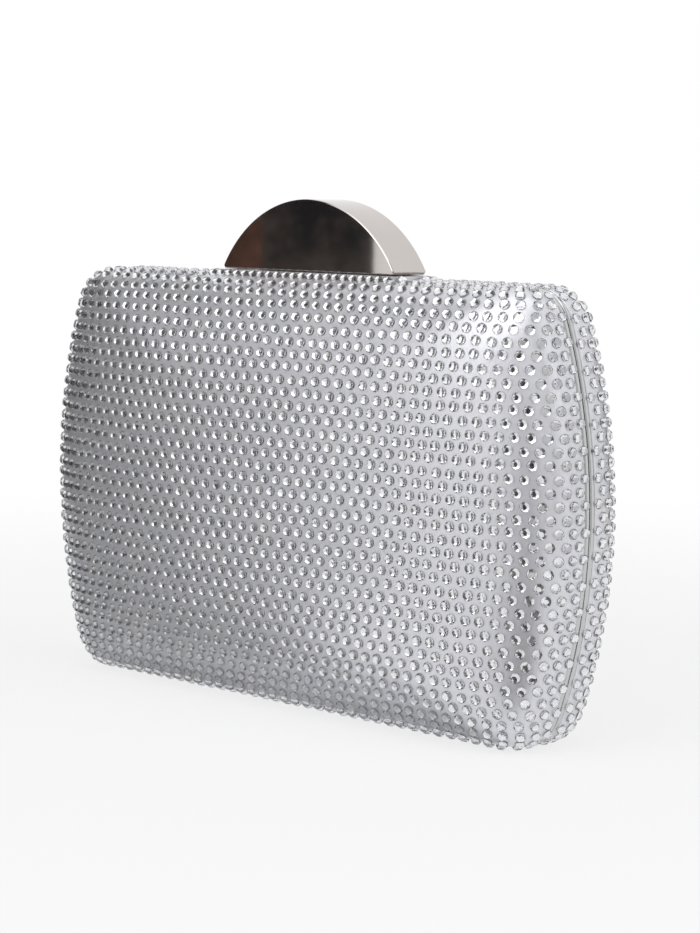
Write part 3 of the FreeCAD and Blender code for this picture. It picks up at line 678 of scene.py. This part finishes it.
# %% The row round the seat
SEAT_MARGIN = 0.1
SEAT_PITCH, SEAT_GAP, SEAT_END = 2.95, STONE_RADIUS * 1.04, 0.4
SEAT_LIFT, SEAT_LEAN, LEAN_REACH = 0.45, 0.65, STONE_RADIUS * 1.5
TOP_LEVEL = 100.0
seat_low, seat_high = (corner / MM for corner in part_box("knob_seat"))
SEAT_OUT = {"front": SEAT_MARGIN - seat_low.y, "rear": SEAT_MARGIN + seat_high.y}
SEAT_HALF = SEAT_MARGIN + seat_high.x


def seat_row(half):
    """Stones along the seat and round its ends, a little above the superellipse at that distance."""
    along = np.arange(-SEAT_HALF, SEAT_HALF + SEAT_PITCH / 2, SEAT_PITCH)
    ends = np.arange(SEAT_OUT[half] - SEAT_PITCH * SEAT_END, SEAM_ROW[half], -SEAT_PITCH)
    at_end = np.full(len(ends), SEAT_HALF + SEAT_GAP)
    x = np.concatenate([along, at_end, -at_end])
    out = np.concatenate([np.full(len(along), SEAT_OUT[half] + SEAT_GAP), ends, ends])
    share = rise_at(np.maximum(out - WALL_LAND, 0) / SATIN_RISE)
    level = MIDDLE + share * (HALF_HEIGHT - SATIN_INSET) + SEAT_LIFT
    return np.stack([x, out, level], axis=1)


def near_seat(places, half, reach):
    """Which places on the top of the bag lie within reach of the seat."""
    x, out, z = places.T
    return (np.abs(x) < SEAT_HALF + reach) & (out < SEAT_OUT[half] + reach) & (z > TOP_LEVEL)


def lean_off_seat(places, half):
    """What is added to a stone's facing near the seat: outwards past its ends, and away from the seam."""
    by_seat = near_seat(places, half, LEAN_REACH)
    past_end = by_seat & (np.abs(places[:, 0]) > SEAT_HALF)
    past_side = by_seat & (places[:, 1] > SEAT_OUT[half])
    lean = np.zeros(places.shape)
    lean[:, 0] = SEAT_LEAN * past_end * np.sign(places[:, 0])
    lean[:, 1] = SEAT_LEAN * past_side
    return lean


print("the front row round the seat has", len(seat_row("front")), "stones")

# %% [markdown]
# ## Setting the stones
# Every stone is the same shape, moved and turned, so all of them are made at once: the shape's points
# times each stone's three directions, plus its place. One mesh for each half keeps the count of pieces
# low. The faces stay flat-shaded, because a facet is flat.

# %% Directions of the stones
TILT_SPREAD = 0.022
# A touch off the vertical, so that it is never in line with a stone that faces straight up.
OFF_VERTICAL = np.array([0, 0, 1.0]) + 0.001


def stone_directions(places, half, side, chance):
    """The three directions of each stone, and the two directions of its row.

    A stone's up direction is the satin's facing with a small random tilt, its first direction lies along
    the row and is turned by a random angle, and the second is square to both.
    """
    facing = facing_at(places) + chance.normal(0, TILT_SPREAD, places.shape)
    facing += lean_off_seat(places, half)
    facing *= np.array([1, side, 1])
    facing /= np.linalg.norm(facing, axis=1, keepdims=True)
    along = np.cross(facing, OFF_VERTICAL)
    along /= np.linalg.norm(along, axis=1, keepdims=True)
    across = np.cross(facing, along)
    turn = chance.uniform(0, 2 * np.pi, len(places))[:, None]
    first = along * np.cos(turn) + across * np.sin(turn)
    second = np.cross(facing, first)
    return np.stack([first, second, facing], axis=1), along, across


print("stones tilt by about", round(float(np.degrees(TILT_SPREAD)), 1), "degrees")

# %% Stones on both halves
GLUE = 0.05
SHIFT_SPREAD = 0.06
SIZE_SPREAD, SIZE_RANGE = 0.025, (0.94, 1.04)
FIRST_SEED = 11


def set_stones(half, side, chance):
    """All stones of one half as one piece: points times directions, plus places, on a film of glue."""
    places = stone_places(SEAM_ROW[half], chance)
    places = places[~near_seat(places, half, STONE_RADIUS)]
    places = np.concatenate([seat_row(half), places])
    places = places[thin_out(places)]
    count = len(places)
    directions, along, across = stone_directions(places, half, side, chance)
    size = chance.normal(1.0, SIZE_SPREAD, (count, 1, 1)).clip(*SIZE_RANGE)
    shift = along * chance.normal(0, SHIFT_SPREAD, (count, 1))
    shift += across * chance.normal(0, SHIFT_SPREAD, (count, 1))
    seats = places * np.array([1, side, 1]) + shift + directions[:, 2] * GLUE
    points = seats[:, None] + np.einsum("nvk,nkd->nvd", stone_points[None] * size, directions)
    corners = (stone_corners[None] + len(stone_points) * np.arange(count)[:, None]).ravel()
    piece = new_piece(half + "_stones", points.reshape(-1, 3), corners, np.tile(corner_counts, count),
                      [stone_glass, foil])
    is_back = np.zeros(len(stone_faces), np.int32)
    is_back[-1] = 1
    piece.data.polygons.foreach_set("material_index", np.tile(is_back, count))
    piece.data.polygons.foreach_set("use_smooth", np.zeros(len(is_back) * count, bool))
    shades = np.repeat(chance.uniform(0, 1, count), len(stone_points))
    stone_shade = piece.data.attributes.new("stone_shade", "FLOAT", "POINT")
    stone_shade.data.foreach_set("value", shades.astype(np.float32))
    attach(piece, half + "_half")
    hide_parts(half + "_crystals")
    triangles = count * int(np.sum(corner_counts - 2))
    print(piece.name, "has", count, "stones and", triangles, "triangles")


for seed, (half, side) in enumerate(SIDES.items(), start=FIRST_SEED):
    set_stones(half, side, np.random.default_rng(seed))

# %% [markdown]
# ## Metal
# The knob is polished to a mirror, its seat is satin nickel and the rim is plain bright nickel. The
# hinge, the lock and the rivets inside are plated and were never polished, and the springs are bare
# steel. All are fully metallic. What tells them apart is roughness and what breaks it up: faint cloudy
# polish on the knob, fine lines along the rim, and brushed streaks on the hinge and the lock.

# %% Metal finishes
METALS = {
    "mirror nickel": {
        "dark": tint(0.54, 0.50, 0.48), "light": tint(0.64, 0.60, 0.575), "rough": 0.035, "spread": 0.03,
        "stretch": EVEN, "scale": 45.0, "depth": 0.00001},
    "bright nickel": {
        "dark": tint(0.50, 0.505, 0.51), "light": tint(0.64, 0.645, 0.65), "rough": 0.17, "spread": 0.10,
        "stretch": (0.15, 8.0, 0.15), "scale": 300.0, "depth": 0.00001},
    "satin nickel": {
        "dark": tint(0.66, 0.65, 0.65), "light": tint(0.78, 0.77, 0.77), "rough": 0.5, "spread": 0.1,
        "stretch": EVEN, "scale": 400.0, "depth": 0.00001},
    "plated sheet": {
        "dark": tint(0.56, 0.55, 0.53), "light": tint(0.72, 0.71, 0.69), "rough": 0.32, "spread": 0.16,
        "stretch": (0.08, 1.0, 1.0), "scale": 1500.0, "depth": 0.00002},
    "spring steel": {
        "dark": tint(0.40, 0.40, 0.42), "light": tint(0.56, 0.56, 0.58), "rough": 0.28, "spread": 0.14,
        "stretch": (1.0, 0.1, 1.0), "scale": 1500.0, "depth": 0.00001},
    "rivet nickel": {
        "dark": tint(0.62, 0.61, 0.58), "light": tint(0.78, 0.77, 0.74), "rough": 0.24, "spread": 0.14,
        "stretch": EVEN, "scale": 800.0, "depth": 0.00002},
}


def make_metal(name, dark, light, rough, spread, stretch, scale, depth):
    """Metal whose shade, roughness and height follow one stretched noise."""
    material, recipe = new_finish(name)
    streaks = recipe.noise(recipe.place(stretch), scale, 4.0, 0.6)
    clouds = recipe.noise(recipe.place(), 60.0, 2.0)
    recipe.surface({
        "Base Color": recipe.mix(streaks * 0.5 + clouds * 0.5, dark, light),
        "Metallic": 1.0,
        "Roughness": rough + (streaks + clouds - 1.0) * spread,
        "Normal": recipe.bump(streaks, 0.25, depth),
    })
    return material


metals = {name: make_metal(name, **looks) for name, looks in METALS.items()}
print("finishes:", ", ".join(metals))

# %% [markdown]
# ## Moulded shell
# The shell is hidden between satin and lining, and shows only at its edge when the bag is open. It is
# grey moulded plastic with the faint pebble that a mould leaves.

# %% Shell finish
def make_plastic():
    material, recipe = new_finish("moulded plastic")
    pebble = recipe.noise(recipe.place(), 2500.0, 2.0)
    recipe.surface({
        "Base Color": recipe.mix(pebble, tint(0.50, 0.50, 0.51), tint(0.60, 0.60, 0.61)),
        "Roughness": 0.48 + pebble * 0.16,
        "Normal": recipe.bump(pebble, 0.3, 0.00005),
    })
    return material


plastic = make_plastic()
print("finish:", plastic.name)

# %% [markdown]
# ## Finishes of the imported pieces
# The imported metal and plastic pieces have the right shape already, so they only change their finish. The
# record says which material slot each piece has, and a slot gives its finish. The knob's seat shares its
# slot with the rim, but is duller, so it is named by itself.

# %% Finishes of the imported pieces
SLOT_FINISHES = {
    "knob": metals["mirror nickel"],
    "rim": metals["bright nickel"],
    "hinge": metals["plated sheet"],
    "rivet": metals["rivet nickel"],
    "lock": metals["plated sheet"],
    "spring_steel": metals["spring steel"],
    "shell": plastic,
}
NODE_FINISHES = {"knob_seat": metals["satin nickel"]}
dressed = [part for part in frame["record"]["subparts"] if part["material_slot"] in SLOT_FINISHES]
for part in dressed:
    mesh = frame["nodes"][part["node"]].data
    mesh.materials.clear()
    mesh.materials.append(NODE_FINISHES.get(part["node"], SLOT_FINISHES[part["material_slot"]]))
print(len(dressed), "packed pieces got a finish")

# %% [markdown]
# ## Springs that give
# Two hidden pieces yield when the knob is pressed. The return springs shorten between the seat and the
# bar in the knob, and the plunger pushes the tip of the catch tongue down and out of the lock plate.
# On the real bag both flatten along the height as the knob goes down, towards the end that is held, and
# come back when it is let go. Here each only gets a mesh of its own. Each has the level of the held end
# and the share of its height that is left.

# %% Springs that give
YIELDING = {"return_springs": (109.7, 0.72), "catch_tongue": (102.75, 0.28)}
for node, (held_level, keep) in YIELDING.items():
    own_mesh(frame["nodes"][node])
    print(node, "keeps", keep, "of its height when the knob is pressed")

# %% [markdown]
# ## Lining
# Inside, each half has a tray covered in grey satin. The cloth is glued down and a little full at the
# corners, where it gathers into soft puckers. It is the same pillow function at a deeper inset, with a
# shallow wave added round the outline that is strongest at the corners and fades out towards the middle
# of the face.

# %% Lining finish
LINING_LIGHT = tint(0.50, 0.50, 0.52)
LINING_DARK = tint(0.29, 0.29, 0.31)


def make_lining():
    material, recipe = new_finish("grey lining satin")
    floats = recipe.noise(recipe.place((3.0, 30.0, 1.0), "UV"), 1.0, 2.0, 0.6)
    slubs = recipe.noise(recipe.place((0.5, 7.0, 1.0), "UV"), 1.0, 3.0, 0.6)
    swell = recipe.noise(recipe.place(), 55.0, 1.0)
    shade = floats * 0.4 + slubs * 0.9 + swell * 0.4 - 0.35
    recipe.surface({
        "Base Color": recipe.mix(shade, LINING_DARK, LINING_LIGHT),
        "Metallic": 0.3,
        "Roughness": 0.34 + floats * 0.16,
        "Normal": recipe.bump(floats * 0.1 + slubs * 0.15 + swell, 0.5, 0.0012),
        "Sheen Weight": 0.3,
        "Sheen Roughness": 0.4,
    })
    return material


lining_satin = make_lining()
print("finish:", lining_satin.name)

# %% Lining cloth
LINING_INSET, LINING_GAP, LINING_START = 3.7, 0.2, 5.7
LINING_CLOTH = 0.7
PUCKER_DEPTH, PUCKER_COUNT = 0.16, 46


def lining_grid():
    """The pillow grid with a wave round the outline that grows towards the corners and the edge."""
    points = pillow_grid(LINING_INSET + LINING_GAP, LINING_START)
    around = np.arctan2(points[..., 2] - MIDDLE, points[..., 0])
    at_corner = np.sin(2 * around) ** 2
    down = np.linspace(1, 0, len(points))[:, None] ** 2
    wave = PUCKER_DEPTH * at_corner * down * np.sin(around * PUCKER_COUNT)
    points[..., 0] *= 1 - wave / HALF_WIDTH
    points[..., 2] = MIDDLE + (points[..., 2] - MIDDLE) * (1 - wave / HALF_HEIGHT)
    return points


lining_points = lining_grid()
for half, side in SIDES.items():
    lining = cloth_piece(half + "_lining_cloth", lining_points, side, LINING_CLOTH, lining_satin)
    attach(lining, half + "_half")
    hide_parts(half + "_lining")
    area = cloth_area(lining)
    print(lining.name, "has", round(area * 10000), "square centimetres of cloth")

# %% [markdown]
# ## Floor
# The bag stands on a plain white table. For light on its way the table is matt white, so it takes the
# bag's shadow. To the eye it is mostly clear, and more so further off, so that the white room behind it
# shows and no edge does. An opened half reaches below the table, and this keeps it in view too. The
# table's own sizes are in metres.

# %% Floor
FLOOR_RADIUS = 1.0
FLOOR_SIDES = 96
FADE_FROM, FADE_TO = 0.1, 0.5
CLEAR_BY_BAG = 0.75


def make_floor_finish():
    material, recipe = new_finish("white table")
    away = recipe.node("ShaderNodeVectorMath", {"operation": "LENGTH"}, {0: recipe.place()}, out="Value")
    fade = recipe.node("ShaderNodeMapRange", {"interpolation_type": "SMOOTHSTEP"}, {
        "Value": away, "From Min": FADE_FROM, "From Max": FADE_TO, "To Min": CLEAR_BY_BAG, "To Max": 1.0})
    matt = recipe.node("ShaderNodeBsdfDiffuse", None, {"Color": tint(0.915, 0.915, 0.915)})
    clear = recipe.node("ShaderNodeBsdfTransparent", None, {"Color": tint(1.0, 1.0, 1.0)})
    both = recipe.node("ShaderNodeMixShader", None, {0: recipe.seen() * fade, 1: matt, 2: clear})
    recipe.node("ShaderNodeOutputMaterial", None, {"Surface": both})
    return material


def one_face(name, corners, finish):
    """A flat piece with a single face."""
    return new_piece(name, corners, np.arange(len(corners)), np.array([len(corners)]), [finish])


turn = np.linspace(0, 2 * np.pi, FLOOR_SIDES + 1)[:-1]
table_edge = np.stack([np.cos(turn), np.sin(turn), np.zeros(FLOOR_SIDES)], axis=1) * FLOOR_RADIUS / MM
floor = one_face("floor", table_edge, make_floor_finish())
print("floor of", FLOOR_RADIUS * 2, "m across")

# %% [markdown]
# ## Cards
# Polished metal and glass have no look of their own: they show what is round them, and in a room that is
# white all over they would turn white too. So cards stand round the bag, outside the picture, and mats
# lie before it, as a photographer would put them. The black ones give the knob its dark face and the
# stones their dark facets, the brown one warms the knob, and the grey and pale ones shade the satin.
# Only reflections and glass show them, and they cast no shadow. An upright card has its shade, two
# bearings from the front in degrees, its distance, and its lower and upper edge in millimetres.

# %% Shades of the cards
CARD_SHADES = {
    "black": (tint(0.006, 0.006, 0.008), tint(0.095, 0.080, 0.072)),
    "mid grey": (tint(0.28, 0.28, 0.28), tint(0.38, 0.38, 0.38)),
    "light grey": (tint(0.70, 0.70, 0.70), tint(0.80, 0.80, 0.80)),
    "pale": (tint(0.87, 0.87, 0.87), tint(0.94, 0.94, 0.94)),
    "brown": (tint(0.07, 0.035, 0.025), tint(0.20, 0.105, 0.075)),
}


def make_card_finish(name, dark, light):
    material, recipe = new_finish(name + " card")
    nap = recipe.noise(recipe.place(), 34.0, 4.0, 0.6)
    recipe.surface({
        "Base Color": recipe.mix(nap * 4.0 - 1.6, dark, light),
        "Roughness": 0.9,
    })
    return material


card_finishes = {name: make_card_finish(name, *shades) for name, shades in CARD_SHADES.items()}
print("cards in", ", ".join(card_finishes))

# %% Cards and mats
UPRIGHT_CARDS = {
    "left card": ("black", -105, -40.6, 420, 0, 520),
    "brown card": ("brown", -53, -47.2, 350, 60, 150),
    "front card": ("black", -1, 33, 460, 0, 230),
    "right card": ("pale", 44, 126, 420, 0, 560),
    "side card": ("black", 146, 178, 420, 0, 160),
}
MATS = {
    "near mat": ("light grey", [(-330, -10), (75, -10), (45, -34), (-330, -34)]),
    "left mat": ("mid grey", [(-330, -34), (10, -34), (-50, -80), (-110, -300), (-330, -300)]),
    "front mat": ("black", [(80, -30), (112, -30), (200, -430), (25, -455)]),
}
MAT_LEVEL = 0.5


def card_corners(first, last, away, low, high):
    """Corners of an upright card between two bearings from the front, in degrees, at a distance."""
    bearing = np.radians([first, last, last, first])
    return np.stack([away * np.sin(bearing), -away * np.cos(bearing), [low, low, high, high]], axis=1)


def stand_card(name, corners, finish):
    """A card or mat that only reflections and glass show."""
    card = one_face(name, corners, finish)
    card.visible_camera = False
    card.visible_diffuse = False
    card.visible_shadow = False
    print(name, "with corners", np.round(corners).tolist())


for name, (shade, *numbers) in UPRIGHT_CARDS.items():
    stand_card(name, card_corners(*numbers), card_finishes[shade])
for name, (shade, corners) in MATS.items():
    stand_card(name, np.array([(x, y, MAT_LEVEL) for x, y in corners]), card_finishes[shade])

# %% [markdown]
# ## White room
# A white background could come from strong light, but that would wash out the bag. Here the room is
# white only where it is seen, straight or in metal and glass, and lights the bag with a much softer fill.

# %% White room
SOFT_FILL = 0.4

world = bpy.data.worlds.new("studio")
scene.world = world
world.use_nodes = True
room = Recipe(world.node_tree)
fill = tint(SOFT_FILL, SOFT_FILL, SOFT_FILL)
room_shade = room.mix(room.seen(), fill, tint(1.0, 1.0, 1.0))
sky = room.node("ShaderNodeBackground", None, {"Color": room_shade, "Strength": 1.0})
room.node("ShaderNodeOutputWorld", None, {"Surface": sky})
print("white room with a soft fill of", SOFT_FILL)

# %% [markdown]
# ## Lamps
# Three large square lamps add a little shape to the light: one above, one in front and one to the right.
# They are wide, so the bag's shadow is soft, and weak, so that a colour renders about as it is written.
# Places and sizes are in metres.

# %% Lamps
BAG_MIDDLE = Vector((0.0, 0.0, 0.055))
LAMPS = {
    "top panel": {"place": (0.2, -0.4, 1.3), "size": 1.6, "watts": 5.0},
    "front panel": {"place": (-0.1, -1.1, 0.6), "size": 0.9, "watts": 4.0},
    "right panel": {"place": (1.1, 0.2, 0.5), "size": 0.9, "watts": 4.0},
}


def soft_lamp(name, place, size, watts):
    """A square lamp that faces the middle of the bag."""
    lamp = bpy.data.objects.new(name, bpy.data.lights.new(name, "AREA"))
    lamp.data.size = size
    lamp.data.energy = watts
    lamp.location = place
    lamp.rotation_euler = (BAG_MIDDLE - Vector(place)).to_track_quat("-Z", "Y").to_euler()
    lamp.visible_camera = False
    scene.collection.objects.link(lamp)


for name, lamp in LAMPS.items():
    soft_lamp(name, **lamp)
print("soft lamps:", ", ".join(LAMPS))
